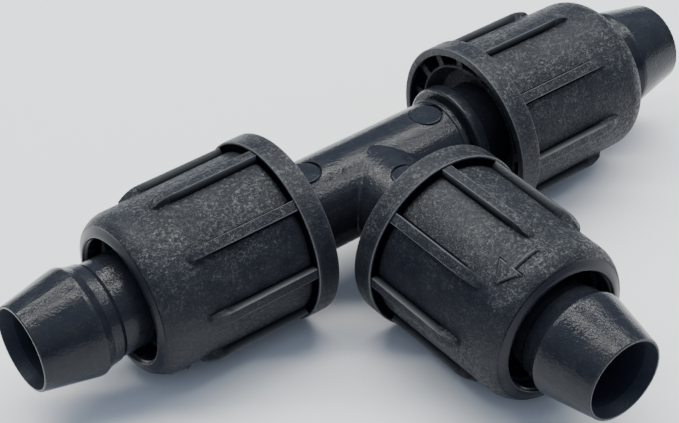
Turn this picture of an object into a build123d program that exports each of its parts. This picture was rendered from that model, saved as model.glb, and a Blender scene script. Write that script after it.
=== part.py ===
"""Tee fitting for thin-walled drip tubing: a moulded barbed tee and three spin-on locking nuts."""

from build123d import *
import os
from math import cos, sin, radians

os.makedirs("parts", exist_ok=True)

# Driving dimensions, millimetres. Every leg distance is measured outward from the tee centre.

# Tee body
TUBE_R = 7.3
BRANCH_TUBE_R = 7.2
WATERWAY_R = 5.7
THROAT_R = 5.1
THROAT_END = 12.0
RUN_REACH = 60.2
BRANCH_REACH = 55.9
SHAFT_R = 7.2
JUNCTION_FILLET = 0.6

# Collar, relief groove and stop flange at the root of each leg
COLLAR_R = 7.55
COLLAR_START = 14.2
COLLAR_END = 15.0
GROOVE_R = 6.9
FLANGE_START = 15.7
FLANGE_END = 17.9
FLANGE_R = 8.75
FLANGE_ROUND = 0.4
COLLAR_ROUND = 0.15

# Barb, measured back from the tip of its leg
BARB_TIP_R = 6.55
BARB_CREST_R = 8.3
BARB_CREST_BACK = 8.6
BARB_LAND = 0.5
BARB_SHOULDER_R = 7.75
BARB_SHOULDER_BACK = 10.4
BARB_STEP_R = 7.5
BARB_STEP_NEAR = 12.0
BARB_STEP_BACK = 12.6
TIP_ROUND = 0.2
TIP_FLARE_R = 6.15
TIP_FLARE_LENGTH = 2.0

# Flat round pads on the crowns of the tubes
PAD_R = 2.4
PAD_TOP = 7.1
PAD_GROOVE_R = 2.7
PAD_GROOVE_DEPTH = 0.3
RUN_PAD_REACH = 11.6
BRANCH_PAD_REACH = 10.2

# Locking nut, measured from its big end
NUT_LENGTH = 28.4
NUT_RIM_R = 14.3
NUT_RIM_LENGTH = 3.6
NUT_RIM_ROUND = 0.35
NUT_PANEL_R = 12.75
NUT_NECK_R = 12.55
NUT_NECK_END = 25.0
NUT_SHOULDER_ARC = 4.2
NUT_LIP_R = 10.8

# Ribs on the nut
RIB_COUNT = 8
RIB_TOP_R = 13.95
RIB_FOOT_R = 12.2
RIB_FOOT_WIDTH = 1.9
RIB_END = 21.4
RIB_TIP_ROUND = 1.4
RIB_DRAFT = 6.0

# Raised turning arrow on the nut
ARROW_REACH = 23.3
ARROW_BAND = 1.4
ARROW_START = 4.0
ARROW_SWEEP = 24.0
ARROW_HEAD_TURN = 31.0
ARROW_HEAD_LENGTH = 3.2
ARROW_HEAD_WIDTH = 4.1
ARROW_FOOT_R = 12.3
ARROW_TOP_R = 13.0

# Inside of the nut
MOUTH_R = 9.4
MOUTH_CHAMFER = 0.3
SNAP_LIP_R = 12.95
SNAP_LIP_LENGTH = 0.8
RING_GROOVE_R = 13.3
RING_GROOVE_END = 3.2
RING_BORE_R = 11.3
RING_BORE_END = 6.6
THREAD_PITCH = 2.6
THREAD_DEPTH = 0.5
THREAD_START = 9.5
THREAD_LENGTH = 15.6

# Grip ring inside the nut, measured from the big end of the nut
RING_START = 1.1
RING_END = 6.3
RING_BASE_R = 11.15
RING_TEETH_R = 13.2
RING_TEETH_END = 3.0
RING_TEETH = 15
RING_TOOTH_WIDTH = 1.3
RING_FUNNEL_R = 10.7
RING_SEAT_R = 9.45
RING_SEAT_REACH = 3.5
RING_BORE = 7.25
RING_CHAMFER = 0.15

# Where the big end of each nut stands
LEFT_NUT_REACH = 16.0
RIGHT_NUT_REACH = 19.2
BRANCH_NUT_REACH = 15.3

# Turn of each nut, degrees, with zero putting a rib straight up
LEFT_NUT_TURN = 175.4
RIGHT_NUT_TURN = 181.9
BRANCH_NUT_TURN = -0.9
RING_TURN = 6.0

# One frame per leg: the local Z runs outward along the leg and the local Y points up
RIGHT_LEG = Plane(origin=(0, 0, 0), x_dir=(0, 1, 0), z_dir=(1, 0, 0))
LEFT_LEG = Plane(origin=(0, 0, 0), x_dir=(0, -1, 0), z_dir=(-1, 0, 0))
BRANCH_LEG = Plane(origin=(0, 0, 0), x_dir=(1, 0, 0), z_dir=(0, -1, 0))


def section_plane(leg, turn):
    """Plane through the leg axis: local X is the radius at this turn, local Y runs outward."""
    radius = leg.x_dir * sin(radians(turn)) + leg.y_dir * cos(radians(turn))
    return Plane(origin=leg.origin, x_dir=radius, z_dir=radius.cross(leg.z_dir))


def leg_axis(leg):
    """The centre line of a leg as an axis."""
    return Axis(leg.origin, leg.z_dir)


def turned_profile(leg, points, rounds=(), mode=Mode.ADD):
    """Revolve a closed outline of (radius, reach) points, rounding the listed (corner, size) pairs."""
    with BuildSketch(section_plane(leg, 0)) as outline:
        with BuildLine():
            Polyline(*points, close=True)
        make_face()
        for corner, size in rounds:
            fillet(outline.vertices().sort_by_distance(corner)[0], size)
    revolve(outline.sketch, axis=leg_axis(leg), mode=mode)


def leg_outline(reach):
    """Outline of one leg outside the tee junction, as (radius, reach) points."""
    return [
        (0, COLLAR_START),
        (COLLAR_R, COLLAR_START),
        (COLLAR_R, COLLAR_END),
        (GROOVE_R, COLLAR_END),
        (GROOVE_R, FLANGE_START),
        (FLANGE_R, FLANGE_START),
        (FLANGE_R, FLANGE_END),
        (SHAFT_R, FLANGE_END),
        (SHAFT_R, reach - BARB_STEP_BACK),
        (BARB_STEP_R, reach - BARB_STEP_NEAR),
        (BARB_SHOULDER_R, reach - BARB_SHOULDER_BACK),
        (BARB_CREST_R, reach - BARB_CREST_BACK - BARB_LAND),
        (BARB_CREST_R, reach - BARB_CREST_BACK),
        (BARB_TIP_R, reach),
        (0, reach),
    ]


def leg_rounds(reach):
    """Corners of the leg outline that are rounded, with the size of each."""
    return [
        ((COLLAR_R, COLLAR_START), COLLAR_ROUND),
        ((COLLAR_R, COLLAR_END), COLLAR_ROUND),
        ((FLANGE_R, FLANGE_START), FLANGE_ROUND),
        ((FLANGE_R, FLANGE_END), FLANGE_ROUND),
        ((BARB_TIP_R, reach), TIP_ROUND),
    ]


def tip_flare(leg, reach):
    """Slight widening of the waterway towards the tip of a leg."""
    turned_profile(leg, [
        (0, reach - TIP_FLARE_LENGTH),
        (WATERWAY_R, reach - TIP_FLARE_LENGTH),
        (TIP_FLARE_R, reach),
        (0, reach),
    ], mode=Mode.SUBTRACT)


def crown_pad(x, y):
    """Flat round pad with a fine groove round it on the crown of a tube."""
    with BuildSketch(Plane.XY.offset(PAD_TOP - PAD_GROOVE_DEPTH)) as recess:
        with Locations((x, y)):
            Circle(PAD_GROOVE_R)
    extrude(recess.sketch, amount=TUBE_R - PAD_TOP + PAD_GROOVE_DEPTH, mode=Mode.SUBTRACT)
    with BuildSketch(Plane.XY.offset(WATERWAY_R)) as pad:
        with Locations((x, y)):
            Circle(PAD_R)
    extrude(pad.sketch, amount=PAD_TOP - WATERWAY_R)


def nut_shell(leg, reach):
    """Turned outside of the locking nut."""
    neck = (NUT_NECK_R, reach + NUT_NECK_END)
    lip = (NUT_LIP_R, reach + NUT_LENGTH)
    with BuildSketch(section_plane(leg, 0)) as outline:
        with BuildLine():
            Polyline(
                (0, reach + NUT_LENGTH),
                (0, reach),
                (NUT_RIM_R - NUT_RIM_ROUND, reach),
                (NUT_RIM_R, reach + NUT_RIM_ROUND),
                (NUT_RIM_R, reach + NUT_RIM_LENGTH - NUT_RIM_ROUND),
                (NUT_RIM_R - NUT_RIM_ROUND, reach + NUT_RIM_LENGTH),
                (NUT_PANEL_R, reach + NUT_RIM_LENGTH),
                neck,
            )
            RadiusArc(neck, lip, -NUT_SHOULDER_ARC)
            Line(lip, (0, reach + NUT_LENGTH))
        make_face()
    revolve(outline.sketch, axis=leg_axis(leg))


def nut_ribs(leg, reach, turn):
    """Grip ribs that run from the rim to a rounded tip."""
    start = NUT_RIM_LENGTH / 2
    middle = (start + RIB_END) / 2
    for index in range(RIB_COUNT):
        section = section_plane(leg, turn + index * 360 / RIB_COUNT)
        foot = section.from_local_coords(Vector(RIB_FOOT_R, reach + middle, 0))
        with BuildSketch(Plane(origin=foot, x_dir=leg.z_dir, z_dir=section.x_dir)) as rib:
            SlotOverall(RIB_END - start, RIB_FOOT_WIDTH)
        extrude(rib.sketch, amount=RIB_TOP_R - RIB_FOOT_R, taper=RIB_DRAFT)
    tip = reach + RIB_END
    with BuildSketch(section_plane(leg, 0)) as tip_cut:
        with BuildLine():
            Line((RIB_TOP_R, tip - RIB_TIP_ROUND), (RIB_TOP_R + RIB_TIP_ROUND, tip - RIB_TIP_ROUND))
            Line((RIB_TOP_R + RIB_TIP_ROUND, tip - RIB_TIP_ROUND), (RIB_TOP_R + RIB_TIP_ROUND, tip))
            Line((RIB_TOP_R + RIB_TIP_ROUND, tip), (RIB_TOP_R - RIB_TIP_ROUND, tip))
            RadiusArc((RIB_TOP_R - RIB_TIP_ROUND, tip), (RIB_TOP_R, tip - RIB_TIP_ROUND), RIB_TIP_ROUND)
        make_face()
    revolve(tip_cut.sketch, axis=leg_axis(leg), mode=Mode.SUBTRACT)


def nut_arrow(leg, reach, turn):
    """Raised arrow beside the rib tips that shows which way the nut turns."""
    start = turn - ARROW_START
    with BuildSketch(section_plane(leg, start)) as band:
        with Locations(((ARROW_FOOT_R + ARROW_TOP_R) / 2, reach + ARROW_REACH)):
            Rectangle(ARROW_TOP_R - ARROW_FOOT_R, ARROW_BAND)
    revolve(band.sketch, axis=leg_axis(leg), revolution_arc=ARROW_SWEEP)
    section = section_plane(leg, turn - ARROW_HEAD_TURN)
    foot = section.from_local_coords(Vector(ARROW_FOOT_R, reach + ARROW_REACH, 0))
    with BuildSketch(Plane(origin=foot, x_dir=section.z_dir, z_dir=section.x_dir)) as head:
        Polygon(
            (ARROW_HEAD_LENGTH / 2, -ARROW_HEAD_WIDTH / 2),
            (-ARROW_HEAD_LENGTH / 2, 0),
            (ARROW_HEAD_LENGTH / 2, ARROW_HEAD_WIDTH / 2),
            align=None,
        )
    extrude(head.sketch, amount=ARROW_TOP_R - ARROW_FOOT_R)


def nut_bore(leg, reach):
    """Stepped bore: snap lip, groove for the grip ring, then the clamping bore out to the mouth."""
    turned_profile(leg, [
        (0, reach),
        (SNAP_LIP_R, reach),
        (SNAP_LIP_R, reach + SNAP_LIP_LENGTH),
        (RING_GROOVE_R, reach + SNAP_LIP_LENGTH),
        (RING_GROOVE_R, reach + RING_GROOVE_END),
        (RING_BORE_R, reach + RING_GROOVE_END),
        (RING_BORE_R, reach + RING_BORE_END),
        (MOUTH_R, reach + RING_BORE_END),
        (MOUTH_R, reach + NUT_LENGTH - MOUTH_CHAMFER),
        (MOUTH_R + MOUTH_CHAMFER, reach + NUT_LENGTH),
        (0, reach + NUT_LENGTH),
    ], mode=Mode.SUBTRACT)


def nut_thread(leg, reach):
    """Helical groove that bites the outside of the tubing."""
    base = leg.from_local_coords(Vector(0, 0, reach + THREAD_START))
    with BuildLine() as path:
        Helix(THREAD_PITCH, THREAD_LENGTH, MOUTH_R, center=base, direction=leg.z_dir)
    start = path.line @ 0
    with BuildSketch(Plane(origin=start, x_dir=start - base, z_dir=path.line % 0)) as groove:
        Polygon(
            (-THREAD_DEPTH / 2, -THREAD_DEPTH),
            (THREAD_DEPTH, -THREAD_DEPTH / 4),
            (THREAD_DEPTH, THREAD_DEPTH / 4),
            (-THREAD_DEPTH / 2, THREAD_DEPTH),
            align=None,
        )
    sweep(groove.sketch, path=path.line, is_frenet=True, mode=Mode.SUBTRACT)


def locking_nut(leg, reach, turn):
    """All the features of one locking nut."""
    nut_shell(leg, reach)
    nut_ribs(leg, reach, turn)
    nut_arrow(leg, reach, turn)
    nut_bore(leg, reach)
    nut_thread(leg, reach)


def grip_ring(leg, reach):
    """Castellated ring that carries the nut and slides on the shaft behind the stop flange."""
    turned_profile(leg, [
        (RING_FUNNEL_R, reach + RING_START),
        (RING_BASE_R - RING_CHAMFER, reach + RING_START),
        (RING_BASE_R, reach + RING_START + RING_CHAMFER),
        (RING_BASE_R, reach + RING_END),
        (RING_BORE, reach + RING_END),
        (RING_BORE, reach + RING_SEAT_REACH),
        (RING_SEAT_R, reach + RING_SEAT_REACH),
    ])
    with BuildSketch(leg.offset(reach + RING_START)) as teeth:
        with PolarLocations((RING_FUNNEL_R + RING_TEETH_R) / 2, RING_TEETH, start_angle=RING_TURN):
            Rectangle(RING_TEETH_R - RING_FUNNEL_R, RING_TOOTH_WIDTH)
        Circle((RING_FUNNEL_R + RING_BASE_R) / 2, mode=Mode.SUBTRACT)
        Circle(RING_TEETH_R, mode=Mode.INTERSECT)
    extrude(teeth.sketch, amount=RING_TEETH_END - RING_START)


with BuildPart() as tee_body:
    with BuildSketch(RIGHT_LEG.offset(-COLLAR_START)):
        Circle(TUBE_R)
    extrude(amount=2 * COLLAR_START)
    with BuildSketch(BRANCH_LEG):
        Circle(BRANCH_TUBE_R)
    extrude(amount=COLLAR_START)
    seam = tee_body.edges().filter_by(GeomType.BSPLINE)
    fillet(seam, radius=JUNCTION_FILLET)
    for pad_x in (-RUN_PAD_REACH, RUN_PAD_REACH):
        crown_pad(pad_x, 0)
    crown_pad(0, -BRANCH_PAD_REACH)
    turned_profile(RIGHT_LEG, leg_outline(RUN_REACH), leg_rounds(RUN_REACH))
    turned_profile(LEFT_LEG, leg_outline(RUN_REACH), leg_rounds(RUN_REACH))
    turned_profile(BRANCH_LEG, leg_outline(BRANCH_REACH), leg_rounds(BRANCH_REACH))
    with BuildSketch(RIGHT_LEG.offset(-RUN_REACH)):
        Circle(WATERWAY_R)
    extrude(amount=2 * RUN_REACH, mode=Mode.SUBTRACT)
    with BuildSketch(BRANCH_LEG):
        Circle(THROAT_R)
    extrude(amount=THROAT_END, mode=Mode.SUBTRACT)
    with BuildSketch(BRANCH_LEG.offset(THROAT_END)):
        Circle(WATERWAY_R)
    extrude(amount=BRANCH_REACH - THROAT_END, mode=Mode.SUBTRACT)
    tip_flare(RIGHT_LEG, RUN_REACH)
    tip_flare(LEFT_LEG, RUN_REACH)
    tip_flare(BRANCH_LEG, BRANCH_REACH)
tee_body.part.label = "tee_body"
export_step(tee_body.part, "parts/tee_body.step")

with BuildPart() as nut_left:
    locking_nut(LEFT_LEG, LEFT_NUT_REACH, LEFT_NUT_TURN)
nut_left.part.label = "nut_left"
export_step(nut_left.part, "parts/nut_left.step")

with BuildPart() as nut_right:
    locking_nut(RIGHT_LEG, RIGHT_NUT_REACH, RIGHT_NUT_TURN)
nut_right.part.label = "nut_right"
export_step(nut_right.part, "parts/nut_right.step")

with BuildPart() as nut_branch:
    locking_nut(BRANCH_LEG, BRANCH_NUT_REACH, BRANCH_NUT_TURN)
nut_branch.part.label = "nut_branch"
export_step(nut_branch.part, "parts/nut_branch.step")

with BuildPart() as ring_left:
    grip_ring(LEFT_LEG, LEFT_NUT_REACH)
ring_left.part.label = "ring_left"
export_step(ring_left.part, "parts/ring_left.step")

with BuildPart() as ring_right:
    grip_ring(RIGHT_LEG, RIGHT_NUT_REACH)
ring_right.part.label = "ring_right"
export_step(ring_right.part, "parts/ring_right.step")

with BuildPart() as ring_branch:
    grip_ring(BRANCH_LEG, BRANCH_NUT_REACH)
ring_branch.part.label = "ring_branch"
export_step(ring_branch.part, "parts/ring_branch.step")
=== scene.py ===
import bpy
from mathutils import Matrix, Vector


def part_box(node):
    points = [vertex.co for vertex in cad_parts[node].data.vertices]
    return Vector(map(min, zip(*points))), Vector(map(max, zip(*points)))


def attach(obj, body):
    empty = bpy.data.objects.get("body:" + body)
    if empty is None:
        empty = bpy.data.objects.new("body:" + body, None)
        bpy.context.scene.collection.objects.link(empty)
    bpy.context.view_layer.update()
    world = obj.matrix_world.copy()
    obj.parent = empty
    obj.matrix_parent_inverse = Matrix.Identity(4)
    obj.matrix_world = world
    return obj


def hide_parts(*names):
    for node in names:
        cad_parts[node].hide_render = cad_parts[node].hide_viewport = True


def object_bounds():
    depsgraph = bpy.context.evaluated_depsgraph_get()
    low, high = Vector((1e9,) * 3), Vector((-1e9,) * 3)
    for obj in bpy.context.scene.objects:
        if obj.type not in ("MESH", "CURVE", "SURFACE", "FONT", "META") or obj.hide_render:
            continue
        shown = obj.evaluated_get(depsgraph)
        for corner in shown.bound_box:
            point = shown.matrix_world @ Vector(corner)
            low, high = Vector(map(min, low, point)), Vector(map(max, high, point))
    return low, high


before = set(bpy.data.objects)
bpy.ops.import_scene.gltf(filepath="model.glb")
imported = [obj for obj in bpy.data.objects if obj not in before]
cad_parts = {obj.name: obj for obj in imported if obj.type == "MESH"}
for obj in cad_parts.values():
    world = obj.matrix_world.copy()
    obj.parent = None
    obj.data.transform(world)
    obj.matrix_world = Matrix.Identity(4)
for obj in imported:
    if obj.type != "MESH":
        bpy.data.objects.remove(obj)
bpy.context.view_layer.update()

import math

import bmesh
import bpy
import numpy as np
from mathutils import Matrix, Vector

MM = 0.001

# Leg frames: the way the leg points, the way its turn angle leans from upright, and its nut's turn
LEGS = {
    "left": {"out": (-1, 0, 0), "side": (0, -1, 0), "turn": 175.4},
    "right": {"out": (1, 0, 0), "side": (0, 1, 0), "turn": 181.9},
    "branch": {"out": (0, -1, 0), "side": (1, 0, 0), "turn": -0.9},
}

# ---------------------------------------------------------------- camera

CAMERA_AZIMUTH = -36.5
CAMERA_ELEVATION = 38.8
CAMERA_ROLL = -1.5
CAMERA_DISTANCE = 277.4 * MM
CAMERA_SLIDE_RIGHT = -4.1 * MM
CAMERA_SLIDE_UP = -4.75 * MM
CAMERA_LENS = 96.4
CAMERA_CLIP = 0.01
SENSOR_WIDTH = 36.0


def add_camera():
    """Camera at the photograph's viewing angle, looking a little off the tee centre."""
    azimuth, elevation, roll = (math.radians(a) for a in (CAMERA_AZIMUTH, CAMERA_ELEVATION, CAMERA_ROLL))
    back = Vector((
        math.sin(azimuth) * math.cos(elevation),
        -math.cos(azimuth) * math.cos(elevation),
        math.sin(elevation),
    ))
    level = (-back).cross(Vector((0, 0, 1))).normalized()
    over = level.cross(-back)
    right = level * math.cos(roll) + over * math.sin(roll)
    up = over * math.cos(roll) - level * math.sin(roll)
    place = back * CAMERA_DISTANCE + right * CAMERA_SLIDE_RIGHT + up * CAMERA_SLIDE_UP
    data = bpy.data.cameras.new("camera")
    data.lens = CAMERA_LENS
    data.sensor_width = SENSOR_WIDTH
    data.clip_start = CAMERA_CLIP
    camera = bpy.data.objects.new("camera", data)
    camera.matrix_world = Matrix.Translation(place) @ Matrix((right, up, back)).transposed().to_4x4()
    bpy.context.scene.collection.objects.link(camera)
    bpy.context.scene.camera = camera


# ---------------------------------------------------------------- node helpers

# Mask of sharp corners for the tee's light edge lines, partly wear and partly painted edge highlights
WEAR_SAMPLES = 6
WEAR_TURN = (0.99, 0.86)  # cosine of the turn where wear starts, and where it is full


class Nodes:
    """A small helper that adds and links the nodes of one material."""

    def __init__(self, name):
        self.material = bpy.data.materials.new(name)
        self.material.use_nodes = True
        self.tree = self.material.node_tree
        self.shader = self.tree.nodes["Principled BSDF"]

    def add(self, kind, settings=None, **inputs):
        """Add a node. Inputs go by name, or by place as i0, i1 where the names repeat."""
        node = self.tree.nodes.new(kind)
        for key, value in (settings or {}).items():
            setattr(node, key, value)
        for key, value in inputs.items():
            by_place = key[0] == "i" and key[1:].isdigit()
            self.feed(node.inputs[int(key[1:]) if by_place else key], value)
        return node

    def feed(self, socket, value):
        """Set a socket to a value, or link it to an output."""
        if isinstance(value, bpy.types.NodeSocket):
            self.tree.links.new(value, socket)
        else:
            socket.default_value = value

    def attribute(self, name):
        """One of the masks stored on the mesh."""
        return self.add("ShaderNodeAttribute", {"attribute_name": name}).outputs["Fac"]

    def noise(self, vector, scale, detail, roughness, distortion=0.0):
        """Fractal noise, from 0 to 1; its scale is in cycles per unit of the vector."""
        node = self.add("ShaderNodeTexNoise", Vector=vector, Scale=scale, Detail=detail, Roughness=roughness,
                        Distortion=distortion)
        return node.outputs["Fac"]

    def streaks(self, vector, scales):
        """Noise drawn out along the axis of least scale."""
        drawn_out = self.add("ShaderNodeMapping", Vector=vector, Scale=scales).outputs[0]
        return self.noise(drawn_out, *STREAK_NOISE)

    def ramp(self, value, low, high, out_low=0.0, out_high=1.0):
        """Map a range of values to another, clamped and eased."""
        node = self.add("ShaderNodeMapRange", {"interpolation_type": "SMOOTHSTEP"}, Value=value)
        node.inputs["From Min"].default_value = low
        node.inputs["From Max"].default_value = high
        node.inputs["To Min"].default_value = out_low
        node.inputs["To Max"].default_value = out_high
        return node.outputs["Result"]

    def math(self, operation, a, b):
        """One arithmetic step."""
        return self.add("ShaderNodeMath", {"operation": operation}, i0=a, i1=b).outputs[0]

    def distance(self, vector, across):
        """Distance from the origin over the kept axes, so (0, 1, 1) gives the distance from the X axis."""
        flat = self.add("ShaderNodeMapping", Vector=vector, Scale=across).outputs[0]
        return self.add("ShaderNodeVectorMath", {"operation": "LENGTH"}, i0=flat).outputs["Value"]

    def edge_wear_and_highlight(self, width):
        """Mask of the corners that a rounding of this width would turn, 1 at the sharpest."""
        rounded = self.add("ShaderNodeBevel", {"samples": WEAR_SAMPLES}, Radius=width).outputs[0]
        true = self.add("ShaderNodeNewGeometry").outputs["Normal"]
        match = self.add("ShaderNodeVectorMath", {"operation": "DOT_PRODUCT"}, i0=rounded, i1=true)
        return self.ramp(match.outputs["Value"], *WEAR_TURN)

    def mix(self, factor, a, b):
        """Mix two colours."""
        node = self.add("ShaderNodeMix", {"data_type": "RGBA"})
        self.feed(node.inputs[0], factor)
        self.feed(node.inputs[6], a)
        self.feed(node.inputs[7], b)
        return node.outputs[2]

    def bump(self, height, strength, distance, normal=None):
        """Bump from a height, on top of another normal if one is given."""
        node = self.add("ShaderNodeBump", Height=height, Strength=strength, Distance=distance)
        if normal is not None:
            self.feed(node.inputs["Normal"], normal)
        return node.outputs["Normal"]


# ---------------------------------------------------------------- nut and ring plastic

# In this and the next section a noise is its scale, detail, roughness and distortion, a ramp is the range
# that it reads and the range that it gives, 0 to 1 if not stated, and a bump is its strength and its depth.

# Specular level
NUT_SHINE = 0.24
# Darker copy of the nut plastic for faces in the recesses: painted shade
PAINTED_SHADE_SHINE = 0.02
RING_SHINE = 0.10

# Colours: the two tones of the skin, its specks (grain, shown on what faces up as painted glints), painted
# light in the bore, painted shade at the foot of each wall, and light lines that are partly edge wear and
# partly painted edge highlights
NUT_DARK = (0.0055, 0.0068, 0.0120, 1)
NUT_LIGHT = (0.0100, 0.0118, 0.0170, 1)
NUT_SPECK = (0.0720, 0.0760, 0.0740, 1)
NUT_SPARKLE = (0.1550, 0.1620, 0.1550, 1)
NUT_BORE_PAINTED_LIGHT = (0.0200, 0.0250, 0.0400, 1)
NUT_PAINTED_SHADE = (0.0010, 0.0014, 0.0030, 1)
NUT_WORN_AND_HIGHLIGHT = (0.1500, 0.1570, 0.1620, 1)

PATCH_NOISE = (240, 3.0, 0.6)
FLOW_NOISE = (70, 2.0, 0.5, 0.6)
PIT_NOISE = (1900, 3.0, 0.75)
SPARKLE_NOISE = (3700, 2.0, 0.7)
CLUMP_NOISE = (480, 3.0, 0.6)

FLOW_COVER = (0.35, 0.62, 0.55, 1.0)
CLUMP_COVER = (0.38, 0.62, 0.35, 1.0)
# Specks show only on faces that point up: painted glints of the overhead light
GLINT_FACING = (0.15, 0.90, 0.25, 1.0)
PATCH_TONE = (0.35, 0.65)
PIT_SPECKS = (0.48, 0.66)
SPARKLE_SPECKS = (0.59, 0.70)

PATCH_ROUGHNESS = (0.3, 0.7, 0.38, 0.47)
FLOW_ROUGHNESS = (0.3, 0.7, -0.05, 0.05)
PIT_ROUGHNESS = (0.38, 0.62, 0.16, -0.16)
EDGE_SMOOTHER = 0.12
POLISH_SMOOTHER = 0.16
PAINTED_SHADE_ROUGHER = 0.55

PIT_BUMP = (0.9, 0.16 * MM)
SPARKLE_BUMP = (0.9, 0.13 * MM)


def nut_material(name, shine):
    """Matt black plastic with mottled grain whose light specks show on what faces up as painted glints, with
    painted light in the bore, painted shade in recesses and light edge lines of wear and painted highlight,
    smooth where it is polished.
    """
    n = Nodes(name)
    coordinates = n.add("ShaderNodeTexCoord")
    place = coordinates.outputs["Object"]
    polish, wear_and_highlight, painted_shade, bore_painted_light = (n.attribute(key) for key in ("polish", "wear_and_highlight", "painted_shade", "bore_painted_light"))
    patch = n.noise(place, *PATCH_NOISE)
    flow = n.noise(place, *FLOW_NOISE)
    pits = n.noise(place, *PIT_NOISE)
    sparkle = n.noise(place, *SPARKLE_NOISE)
    grainy = n.math("MULTIPLY", n.math("SUBTRACT", 1.0, polish), n.ramp(flow, *FLOW_COVER))

    # Specks only where the surface faces up, as painted glints
    speck_glint_cover = n.math("MULTIPLY", grainy, n.ramp(n.noise(place, *CLUMP_NOISE), *CLUMP_COVER))
    upward = n.add("ShaderNodeSeparateXYZ", Vector=coordinates.outputs["Normal"]).outputs["Z"]
    speck_glint_cover = n.math("MULTIPLY", speck_glint_cover, n.ramp(upward, *GLINT_FACING))
    body = n.mix(n.ramp(patch, *PATCH_TONE), NUT_DARK, NUT_LIGHT)
    body = n.mix(n.math("MULTIPLY", n.ramp(pits, *PIT_SPECKS), speck_glint_cover), body, NUT_SPECK)
    body = n.mix(n.math("MULTIPLY", n.ramp(sparkle, *SPARKLE_SPECKS), speck_glint_cover), body, NUT_SPARKLE)
    # Lighter bluish tone over the bore: painted light
    body = n.mix(bore_painted_light, body, NUT_BORE_PAINTED_LIGHT)
    # Near black at the foot of walls and round the arrow: painted shade
    body = n.mix(painted_shade, body, NUT_PAINTED_SHADE)
    # Light lines along edges: partly wear, partly painted edge highlights
    body = n.mix(wear_and_highlight, body, NUT_WORN_AND_HIGHLIGHT)
    n.feed(n.shader.inputs["Base Color"], body)

    rough = n.ramp(patch, *PATCH_ROUGHNESS)
    rough = n.math("ADD", rough, n.ramp(flow, *FLOW_ROUGHNESS))
    rough = n.math("ADD", rough, n.math("MULTIPLY", n.ramp(pits, *PIT_ROUGHNESS), grainy))
    rough = n.math("SUBTRACT", rough, n.math("MULTIPLY", wear_and_highlight, EDGE_SMOOTHER))
    rough = n.math("SUBTRACT", rough, n.math("MULTIPLY", polish, POLISH_SMOOTHER))
    rough = n.math("ADD", rough, n.math("MULTIPLY", painted_shade, PAINTED_SHADE_ROUGHER))
    n.feed(n.shader.inputs["Roughness"], rough)
    n.shader.inputs["Specular IOR Level"].default_value = shine

    coarse = n.bump(n.math("MULTIPLY", pits, grainy), *PIT_BUMP)
    fine = n.bump(n.math("MULTIPLY", sparkle, grainy), *SPARKLE_BUMP, coarse)
    n.feed(n.shader.inputs["Normal"], fine)
    return n.material


# ---------------------------------------------------------------- tee plastic

# Specular level
TEE_SHINE = 0.22

# Colours: the two tones of the skin, its specks, painted light in the waterway, and light edge lines that are
# partly wear and partly painted highlight
TEE_DARK = (0.0108, 0.0124, 0.0180, 1)
TEE_LIGHT = (0.0148, 0.0162, 0.0205, 1)
TEE_SPECK = (0.0600, 0.0640, 0.0520, 1)
TEE_BORE_PAINTED_LIGHT = (0.0175, 0.0210, 0.0320, 1)
TEE_WORN_AND_HIGHLIGHT = (0.1100, 0.1160, 0.1180, 1)

STREAK_NOISE = (1.0, 3.0, 0.6)
STREAK_ALONG = 90
STREAK_ACROSS = 1500
STREAK_CHANGE = (-8.8 * MM, -7.0 * MM)  # depth over which streaks turn from the branch's way to the run's
WAVE_NOISE = (210, 2.0, 0.5, 0.3)
GRAIN_NOISE = (2600, 2.0, 0.6)
HAZE_NOISE = (420, 4.0, 0.6)

HAZE_TONE = (0.35, 0.7)
GRAIN_SPECKS = (0.5, 0.8)
SPECK_STRENGTH = 0.22

HAZE_ROUGHNESS = (0.35, 0.65, 0.12, 0.20)
STREAK_ROUGHNESS = (0.35, 0.65, -0.03, 0.08)
BORE_ROUGHER = 0.35

WAVE_BUMP = (0.8, 0.07 * MM)
STREAK_BUMP = (0.8, 0.035 * MM)
GRAIN_BUMP = (0.8, 0.07 * MM)

# Where the waterway's wall ends, where the branch starts, and which edges can get wear and painted edge
# highlights
BORE_EDGE = 6.16 * MM
BRANCH_START = -8.0 * MM
WEAR_WIDTH = 0.30 * MM
WEAR_START_R = 7.35 * MM
TIP_START = 54.0 * MM


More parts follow.
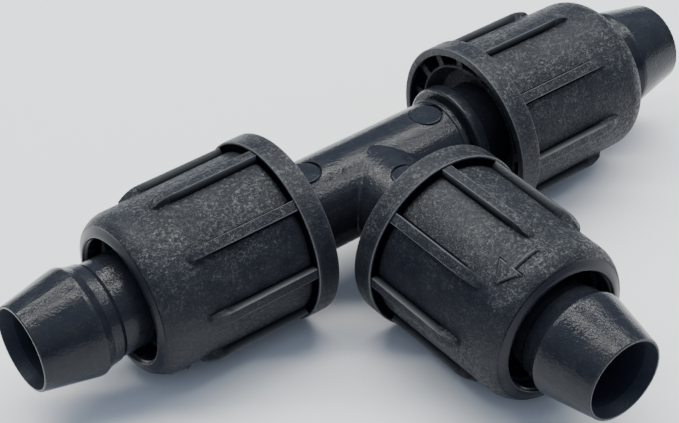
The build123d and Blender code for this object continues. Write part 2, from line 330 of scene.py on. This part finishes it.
def tee_material(name, shine):
    """Glossy black plastic with the slight waviness, haze and fine scratches of a moulding, painted light in
    the waterway, and light edge lines of wear and painted highlight.
    """
    n = Nodes(name)
    place = n.add("ShaderNodeTexCoord").outputs["Object"]
    along_run = n.streaks(place, (STREAK_ALONG, STREAK_ACROSS, STREAK_ACROSS))
    along_branch = n.streaks(place, (STREAK_ACROSS, STREAK_ALONG, STREAK_ACROSS))
    depth = n.add("ShaderNodeSeparateXYZ", Vector=place).outputs["Y"]
    streak = n.mix(n.ramp(depth, *STREAK_CHANGE), along_branch, along_run)
    wave = n.noise(place, *WAVE_NOISE)
    grain = n.noise(place, *GRAIN_NOISE)
    haze = n.noise(place, *HAZE_NOISE)

    run_r = n.distance(place, (0, 1, 1))
    branch_r = n.distance(place, (1, 0, 1))
    in_branch = n.math("LESS_THAN", branch_r, BORE_EDGE)
    in_branch = n.math("MULTIPLY", in_branch, n.math("LESS_THAN", depth, BRANCH_START))
    in_bore = n.math("MAXIMUM", n.math("LESS_THAN", run_r, BORE_EDGE), in_branch)
    raised = n.math("GREATER_THAN", n.math("MINIMUM", run_r, branch_r), WEAR_START_R)
    exposed = n.math("MAXIMUM", raised, n.math("GREATER_THAN", n.distance(place, (1, 1, 1)), TIP_START))
    exposed = n.math("MULTIPLY", exposed, n.math("SUBTRACT", 1.0, in_bore))

    body = n.mix(n.ramp(haze, *HAZE_TONE), TEE_DARK, TEE_LIGHT)
    body = n.mix(n.math("MULTIPLY", n.ramp(grain, *GRAIN_SPECKS), SPECK_STRENGTH), body, TEE_SPECK)
    # Lighter bluish tone over the waterway: painted light
    body = n.mix(in_bore, body, TEE_BORE_PAINTED_LIGHT)
    # Light lines on sharp exposed edges: partly wear, partly painted edge highlights
    body = n.mix(n.math("MULTIPLY", n.edge_wear_and_highlight(WEAR_WIDTH), exposed), body, TEE_WORN_AND_HIGHLIGHT)
    n.feed(n.shader.inputs["Base Color"], body)

    rough = n.ramp(haze, *HAZE_ROUGHNESS)
    rough = n.math("ADD", rough, n.ramp(streak, *STREAK_ROUGHNESS))
    rough = n.math("ADD", rough, n.math("MULTIPLY", in_bore, BORE_ROUGHER))
    n.feed(n.shader.inputs["Roughness"], rough)
    n.shader.inputs["Specular IOR Level"].default_value = shine

    waves = n.bump(wave, *WAVE_BUMP)
    scratches = n.bump(streak, *STREAK_BUMP, waves)
    n.feed(n.shader.inputs["Normal"], n.bump(grain, *GRAIN_BUMP, scratches))
    return n.material


# ---------------------------------------------------------------- shape of the locking nut

# Lengths are in mm and angles in degrees. Reach is measured along the leg from the nut's big end.

# Outside: the rim, the recessed panels, the taper, and the shoulder that turns into the cone
RIM_END = 3.6
RIM_ROUND = 0.3
WALL_FOOT = 0.16
PANEL_R = 12.75
TAPER_START = (18.4, 12.6)
NECK = (25.0, 12.55)
SHOULDER_ARC = 4.2
SHOULDER_END = 48.0

# Mouth and bore, down to the groove that the grip ring snaps into
LIP_R = 9.72
LIP_ROUND = 0.22
MOUTH_R = 9.4
MOUTH_FLARE = 0.6
RING_BORE_R = 11.3
RING_BORE_END = 6.6
RING_GROOVE_R = 13.3
RING_GROOVE_END = 3.2
SNAP_LIP_R = 12.95
SNAP_LIP_END = 0.8
SNAP_LIP_CHAMFER = 0.15
SNAP_LIP_CORNER = 0.02

# How far apart the points of the section lie, closer where the shape changes fast
STEP = {
    "end": 0.3,
    "rim": 0.5,
    "wall": 0.12,
    "panel": 0.7,
    "taper": 0.12,
    "cone": 0.22,
    "flare": 0.15,
    "thread": 0.28,
    "ledge": 0.5,
    "ring_bore": 0.8,
    "groove": 0.7,
}
PAST_ROUND = 0.05
ROUND_POINTS = 6
FOOT_POINTS = 5
SHOULDER_POINTS = 12

# Parts of the section
OUTSIDE = 0
MOUTH = 1
BORE = 2

# Ribs
RIB_COUNT = 8
RIB_TOP_R = 13.92
RIB_HALF_TOP = 0.77
RIB_HALF_FOOT = 0.90
RIB_TIP_CENTRE = 20.5
RIB_TIP_STRETCH = 0.8
RIB_RAMP = (18.0, 22.0)

# Angles of the mesh: each side of a rib's middle, then evenly over the panel, closely where the arrow is
NEAR_RIB = (0.0, 1.2, 2.2, 2.7, 2.95, 3.08, 3.17, 3.27, 3.4, 3.55, 3.68, 3.8, 4.0, 4.35, 5.0, 6.5)
AFTER_RIB = 8.4
BEFORE_RIB = 6.4
PANEL_TURN = 2.2
ARROW_TURN = 0.35

# Thread: the root and flank are parts of the pitch, and it runs out at both ends
THREAD_PITCH = 2.6
THREAD_DEPTH = 0.5
THREAD_SPAN = (9.5, 26.8)
THREAD_RUN_OUT = 1.2
THREAD_ROOT = 0.12
THREAD_FLANK = 0.2
ON_BORE = 0.01

# Raised arrow
ARROW_REACH = 23.3
ARROW_HALF_BAND = 0.72
ARROW_SHAFT = (-6.0, -28.0)
ARROW_HEAD = (-25.0, -38.5)
ARROW_HEAD_HALF = 2.1
ARROW_HEAD_SLOPE = 0.85
ARROW_RISE = 0.5
ARROW_SOFT = 0.16
ARROW_WINDOW = 2.9
FAR_OUTSIDE = -9

# Light edge lines, partly wear and partly painted edge highlights, as soft lines: where each line lies from
# the edge, and its width
WEAR_AND_HIGHLIGHT_STRENGTH = 0.8
RIB_FADE = (15.5, 21.0)
RIB_WEAR_WIDTH = 0.06
RIM_WEAR_IN = 0.09
RIM_WEAR_WIDTH = 0.055
RIM_WEAR_REACH = 0.5
PAST_RIM = 0.1
ARROW_WEAR = (0.07, 0.08)

# Painted shade: down each rib's wall and over its foot, down the rim's wall and over its foot, round the
# arrow
RIB_HOLLOW_OVERLAP = 0.01
RIB_HOLLOW_START = 0.03
RIB_HOLLOW_SPREAD = 0.30
RIB_HOLLOW_FADE = 0.22
RIB_HOLLOW_ROOM = (0.3, 0.4)
RIM_HOLLOW_START = 0.15
RIM_HOLLOW_SPREAD = 0.45
RIM_HOLLOW_FADE = 0.3
ON_WALL = 0.02
BETWEEN_RIBS = 0.5
ARROW_HOLLOW = (-0.13, 0.13)
ARROW_HOLLOW_STRENGTH = 0.85
PAINTED_SHADE_START = 0.5

WELD_DISTANCE = 0.0005 * MM


def arc_points(centre, radius, start, end, count):
    """Points on an arc in the (reach, radius) plane; angles in degrees from the reach axis."""
    return [
        (centre[0] + radius * math.cos(math.radians(a)), centre[1] + radius * math.sin(math.radians(a)))
        for a in np.linspace(start, end, count)
    ]


def straight(start, end, step):
    """Evenly spaced points from start up to, but not including, end."""
    count = max(1, round(math.dist(start, end) / step))
    return [tuple(np.add(start, np.subtract(end, start) * i / count)) for i in range(count)]


def nut_section(length, rim_r):
    """Closed section of the nut as (reach, radius) points, with a tag for the outside, mouth and bore."""
    rim, foot, lip = RIM_ROUND, WALL_FOOT, LIP_ROUND
    outside = straight((0, SNAP_LIP_R + SNAP_LIP_CHAMFER), (0, rim_r - rim), STEP["end"])
    outside += arc_points((rim, rim_r - rim), rim, 180, 90, ROUND_POINTS)
    outside += straight((rim + 2 * PAST_ROUND, rim_r), (RIM_END - rim, rim_r), STEP["rim"])
    outside += arc_points((RIM_END - rim, rim_r - rim), rim, 90, 10, ROUND_POINTS)
    outside += straight((RIM_END, rim_r - rim - PAST_ROUND), (RIM_END, PANEL_R + foot), STEP["wall"])
    outside += arc_points((RIM_END + foot, PANEL_R + foot), foot, 180, 268, FOOT_POINTS)
    outside += straight((RIM_END + foot + PAST_ROUND, PANEL_R), TAPER_START, STEP["panel"])
    outside += straight(TAPER_START, NECK, STEP["taper"])
    shoulder_centre = (NECK[0], NECK[1] - SHOULDER_ARC)
    outside += arc_points(shoulder_centre, SHOULDER_ARC, 90, SHOULDER_END, SHOULDER_POINTS)

    flare_end = (length - MOUTH_FLARE, MOUTH_R)
    mouth = straight(outside[-1], (length, LIP_R + 2 * lip), STEP["cone"])[1:]
    mouth += arc_points((length - lip, LIP_R + lip), lip, 20, -90, ROUND_POINTS)
    mouth += straight((length - lip, LIP_R), flare_end, STEP["flare"])[1:]

    bore = straight(flare_end, (RING_BORE_END, MOUTH_R), STEP["thread"])
    bore += straight((RING_BORE_END, MOUTH_R), (RING_BORE_END, RING_BORE_R), STEP["ledge"])
    bore += straight((RING_BORE_END, RING_BORE_R), (RING_GROOVE_END, RING_BORE_R), STEP["ring_bore"])
    bore += straight((RING_GROOVE_END, RING_BORE_R), (RING_GROOVE_END, RING_GROOVE_R), STEP["ledge"])
    bore += straight((RING_GROOVE_END, RING_GROOVE_R), (SNAP_LIP_END, RING_GROOVE_R), STEP["groove"])
    bore += [
        (SNAP_LIP_END, RING_GROOVE_R),
        (SNAP_LIP_END - SNAP_LIP_CORNER, SNAP_LIP_R + SNAP_LIP_CORNER),
        (SNAP_LIP_CHAMFER, SNAP_LIP_R),
    ]
    tags = [OUTSIDE] * len(outside) + [MOUTH] * len(mouth) + [BORE] * len(bore)
    return np.array(outside + mouth + bore), np.array(tags)


def nut_angles():
    """Angles round the nut, degrees, close together at the edges of each rib and at the arrow."""
    spacing = 360 / RIB_COUNT
    first, last = AFTER_RIB, spacing - BEFORE_RIB
    angles = set()
    for rib in range(RIB_COUNT):
        centre = rib * spacing
        angles.update(round((centre + side * offset) % 360, 3) for offset in NEAR_RIB for side in (1, -1))
        has_arrow = rib == RIB_COUNT - 1
        count = round((last - first) / (ARROW_TURN if has_arrow else PANEL_TURN))
        angles.update(round((centre + first + (last - first) * i / count) % 360, 3) for i in range(count))
    return np.array(sorted(angles))


def ease(value):
    """Smooth step from 0 to 1 as value goes from 0 to 1."""
    value = np.clip(value, 0, 1)
    return value * value * (3 - 2 * value)


def soft_line(value, centre, width):
    """Soft line, 1 where the value is at its centre."""
    return np.exp(-((value - centre) / width) ** 2)


def rib_distance(angle, reach):
    """Distance from the middle line of the nearest rib, which ends in a rounded tip."""
    spacing = 360 / RIB_COUNT
    offset = (angle + spacing / 2) % spacing - spacing / 2
    across = abs(offset) * math.pi / 180 * RIB_TOP_R
    beyond = np.clip(reach - RIB_TIP_CENTRE, 0, None) * RIB_TIP_STRETCH
    return np.hypot(across, beyond)


def rib_rise(away, reach):
    """Height of the ribs as a part of the room under their top radius; they run down towards the tip."""
    rise = 1 - ease((away - RIB_HALF_TOP) / (RIB_HALF_FOOT - RIB_HALF_TOP))
    return rise * (1 - np.clip((reach - RIB_RAMP[0]) / (RIB_RAMP[1] - RIB_RAMP[0]), 0, 1) ** 2)


def arrow_distance(angle, reach, radius):
    """Distance inside the outline of the raised arrow, negative outside it."""
    shaft_start, shaft_end = ARROW_SHAFT
    along = np.minimum(shaft_start - angle, angle - shaft_end) * math.pi / 180 * radius
    band = np.minimum(ARROW_HALF_BAND - abs(reach - ARROW_REACH), along)
    head_start, head_tip = ARROW_HEAD
    run = (angle - head_tip) / (head_start - head_tip)
    head_length = (head_start - head_tip) * math.pi / 180 * radius
    head_side = (run * ARROW_HEAD_HALF - abs(reach - ARROW_REACH)) * ARROW_HEAD_SLOPE
    head = np.minimum(head_side, (1 - run) * head_length)
    return np.maximum(band, head)


def thread_depth(angle, reach):
    """Depth of the thread that is cut into the bore."""
    turn = reach / THREAD_PITCH - angle / 360
    tooth = ease((abs((turn % 1) - 0.5) - THREAD_ROOT) / THREAD_FLANK)
    start, end = THREAD_SPAN
    fade = ease((reach - start) / THREAD_RUN_OUT) * ease((end - reach) / THREAD_RUN_OUT)
    return THREAD_DEPTH * (1 - tooth) * fade


def nut_mesh(name, leg, reach, length, rim_r):
    """One locking nut as a closed mesh: ribs, recessed panels, raised arrow and an internal thread."""
    section, tags = nut_section(length, rim_r)
    angles = nut_angles()
    x, r = (np.broadcast_to(column, (len(angles), len(section))).copy() for column in section.T)
    a = np.broadcast_to(angles[:, None], x.shape)
    outside = np.broadcast_to(tags == OUTSIDE, x.shape)
    bore = np.broadcast_to(tags == BORE, x.shape)

    away = rib_distance(a, x)
    rise = rib_rise(away, x)
    rib_room = np.clip(RIB_TOP_R - r, 0, None) * (x >= RIM_END - RIM_ROUND)
    signed = (a + 180) % 360 - 180
    inside = np.where(abs(x - ARROW_REACH) < ARROW_WINDOW, arrow_distance(signed, x, r), FAR_OUTSIDE)
    mark = ease(inside / ARROW_SOFT + 0.5)
    r += outside * (rib_room * rise + ARROW_RISE * mark)
    r += bore * (r < MOUTH_R + ON_BORE) * thread_depth(a, x)

    # Light lines along rib tops, rim and arrow: partly wear, partly painted edge highlights
    rib_fade = 1 - ease((x - RIB_FADE[0]) / (RIB_FADE[1] - RIB_FADE[0]))
    rib_edge = soft_line(away, RIB_HALF_TOP, RIB_WEAR_WIDTH) * (x > RIM_END) * rib_fade
    rim_edge = soft_line(r, rim_r - RIM_WEAR_IN, RIM_WEAR_WIDTH)
    rim_edge = rim_edge * ((x < RIM_WEAR_REACH) | (x > RIM_END - RIM_WEAR_REACH)) * (x < RIM_END + PAST_RIM)
    arrow_edge = soft_line(inside, *ARROW_WEAR)
    wear_and_highlight = WEAR_AND_HIGHLIGHT_STRENGTH * rib_edge + WEAR_AND_HIGHLIGHT_STRENGTH * rim_edge + WEAR_AND_HIGHLIGHT_STRENGTH * arrow_edge

    # Painted shade down the walls of ribs and rim, over their feet, and round the arrow
    rib_wall = ease((away - RIB_HALF_TOP + RIB_HOLLOW_OVERLAP) / RIB_HOLLOW_START)
    rib_wall = rib_wall * ease((RIB_HALF_FOOT + RIB_HOLLOW_SPREAD - away) / RIB_HOLLOW_FADE)
    rib_wall = rib_wall * ease((rib_room - RIB_HOLLOW_ROOM[0]) / RIB_HOLLOW_ROOM[1])
    rim_wall = (abs(x - RIM_END) < ON_WALL) * ease((rim_r - RIM_ROUND - r) / RIM_HOLLOW_START)
    rim_foot = (x > RIM_END + ON_WALL) * ease((RIM_END + RIM_HOLLOW_SPREAD - x) / RIM_HOLLOW_FADE)
    rim_wall = np.maximum(rim_wall, rim_foot) * (rise < BETWEEN_RIBS)
    arrow_wall = soft_line(inside, *ARROW_HOLLOW)
    painted_shade = np.maximum(np.maximum(rib_wall * rib_fade, rim_wall), ARROW_HOLLOW_STRENGTH * arrow_wall)

    out, side = (Vector(LEGS[leg][key]) for key in ("out", "side"))
    angle = np.radians(a + LEGS[leg]["turn"])
    points = (
        (reach + x)[..., None] * np.array(out)
        + (r * np.sin(angle))[..., None] * np.array(side)
        + (r * np.cos(angle))[..., None] * np.array((0, 0, 1))
    ) * MM
    masks = {
        "wear_and_highlight": np.clip(wear_and_highlight * outside, 0, 1),
        "painted_shade": np.clip(painted_shade * outside, 0, 1),
        "polish": np.broadcast_to((tags != OUTSIDE) * 1.0, x.shape),
        # Whole bore marked for painted light
        "bore_painted_light": np.broadcast_to((tags == BORE) * 1.0, x.shape),
    }
    return grid_object(name, points, masks)


def weld(mesh):
    """Join points that coincide, as the rim wall's do under each rib, so that no face is without area."""
    grid = bmesh.new()
    grid.from_mesh(mesh)
    bmesh.ops.remove_doubles(grid, verts=grid.verts, dist=WELD_DISTANCE)
    grid.to_mesh(mesh)
    grid.free()


def grid_object(name, points, masks):
    """Mesh object from a grid of points that closes both ways; faces deep in the painted shade take the
    second, darker material.
    """
    rows, columns = points.shape[:2]
    index = np.arange(rows * columns).reshape(rows, columns)
    right = np.roll(index, -1, axis=1)
    down = np.roll(index, -1, axis=0)
    faces = np.stack([index, down, np.roll(down, -1, axis=1), right], axis=-1).reshape(-1, 4)
    mesh = bpy.data.meshes.new(name)
    mesh.from_pydata(points.reshape(-1, 3).tolist(), [], faces.tolist())
    for key, values in masks.items():
        layer = mesh.attributes.new(key, "FLOAT", "POINT")
        layer.data.foreach_set("value", np.ascontiguousarray(values, dtype=np.float32).ravel())
    mesh.polygons.foreach_set("use_smooth", [True] * len(mesh.polygons))
    # Faces deep in the painted shade take the darker copy of the material: more painted shade
    in_painted_shade = np.ravel(masks["painted_shade"])[faces].mean(axis=1) > PAINTED_SHADE_START
    mesh.polygons.foreach_set("material_index", in_painted_shade.astype(np.int32))
    weld(mesh)
    volume = sum(Vector(p.center).dot(p.normal) * p.area for p in mesh.polygons)
    if volume < 0:
        mesh.flip_normals()
    mesh.update()
    obj = bpy.data.objects.new(name, mesh)
    bpy.context.scene.collection.objects.link(obj)
    return obj


def add_nuts(material, painted_shade_material):
    """The three nuts, each standing for its CAD node."""
    for leg, facts in LEGS.items():
        node = "nut_" + leg
        low, high = (Vector(corner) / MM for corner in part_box(node))
        ends = sorted((low.dot(Vector(facts["out"])), high.dot(Vector(facts["out"]))))
        nut = nut_mesh(node + "_moulding", leg, ends[0], ends[1] - ends[0], (high.z - low.z) / 2)
        nut.data.materials.append(material)
        nut.data.materials.append(painted_shade_material)
        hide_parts(node)
        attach(nut, node)


# ---------------------------------------------------------------- floor and light

FLOOR_SIZE = 1.8
FLOOR_COLOUR = (0.92, 0.92, 0.92, 1)
FLOOR_ROUGHNESS = 0.9

# Two strips, with how far each hangs beyond the tee and how brightly it glows
STRIPS = {
    "near_strip": {"away": 0.02, "glow": 19.0},
    "far_strip": {"away": 0.30, "glow": 23.0},
}
STRIP_HEIGHT = 0.55
STRIP_SIZE = (1.0, 0.065)
STRIP_COLOUR = (1.0, 0.99, 0.93)

# The room glows more the higher one looks, up to the ceiling
ROOM_COLOUR = (0.66, 0.78, 1.0, 1)
HORIZON_GLOW = 0.12
CEILING_GLOW = 0.95
CEILING_START = 0.8


def add_floor():
    """Plain pale floor that the rims of the nuts stand on."""
    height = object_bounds()[0][2]
    bpy.ops.mesh.primitive_plane_add(size=FLOOR_SIZE, location=(0, 0, height))
    floor = bpy.context.object
    floor.name = "floor"
    n = Nodes("floor_white")
    n.shader.inputs["Base Color"].default_value = FLOOR_COLOUR
    n.shader.inputs["Roughness"].default_value = FLOOR_ROUGHNESS
    floor.data.materials.append(n.material)


def add_strip(name, away, glow):
    """A long soft light that hangs level across the camera's view, this far beyond the tee."""
    azimuth = math.radians(CAMERA_AZIMUTH)
    across = Vector((math.cos(azimuth), math.sin(azimuth), 0))
    place = Vector((-math.sin(azimuth), math.cos(azimuth), 0)) * away + Vector((0, 0, STRIP_HEIGHT))
    back = place.normalized()
    data = bpy.data.lights.new(name, "AREA")
    data.shape = "RECTANGLE"
    data.size, data.size_y = STRIP_SIZE
    data.energy = glow * math.pi * STRIP_SIZE[0] * STRIP_SIZE[1]
    data.color = STRIP_COLOUR
    light = bpy.data.objects.new(name, data)
    turn = Matrix((across, back.cross(across), back)).transposed().to_4x4()
    light.matrix_world = Matrix.Translation(place) @ turn
    bpy.context.scene.collection.objects.link(light)


def add_room():
    """Pale grey-blue room light, dim at the horizon and bright overhead."""
    world = bpy.data.worlds.new("studio")
    world.use_nodes = True
    tree = world.node_tree
    height = tree.nodes.new("ShaderNodeSeparateXYZ")
    glow = tree.nodes.new("ShaderNodeMapRange")
    glow.inputs["From Min"].default_value = 0.0
    glow.inputs["From Max"].default_value = CEILING_START
    glow.inputs["To Min"].default_value = HORIZON_GLOW
    glow.inputs["To Max"].default_value = CEILING_GLOW
    tree.links.new(tree.nodes.new("ShaderNodeTexCoord").outputs["Generated"], height.inputs[0])
    tree.links.new(height.outputs["Z"], glow.inputs["Value"])
    tree.links.new(glow.outputs[0], tree.nodes["Background"].inputs["Strength"])
    tree.nodes["Background"].inputs["Color"].default_value = ROOM_COLOUR
    bpy.context.scene.world = world


add_camera()
tee_plastic = tee_material("tee_black_plastic", TEE_SHINE)
nut_plastic = nut_material("nut_black_plastic", NUT_SHINE)
# Darker copy for the recesses: painted shade
painted_shade_plastic = nut_material("nut_painted_shade_plastic", PAINTED_SHADE_SHINE)
ring_plastic = nut_material("ring_black_plastic", RING_SHINE)
add_nuts(nut_plastic, painted_shade_plastic)
for node, material in (
    ("tee_body", tee_plastic),
    ("ring_left", ring_plastic),
    ("ring_right", ring_plastic),
    ("ring_branch", ring_plastic),
):
    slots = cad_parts[node].data.materials
    slots.clear()
    slots.append(material)
add_floor()
add_room()
for name, facts in STRIPS.items():
    add_strip(name, facts["away"], facts["glow"])
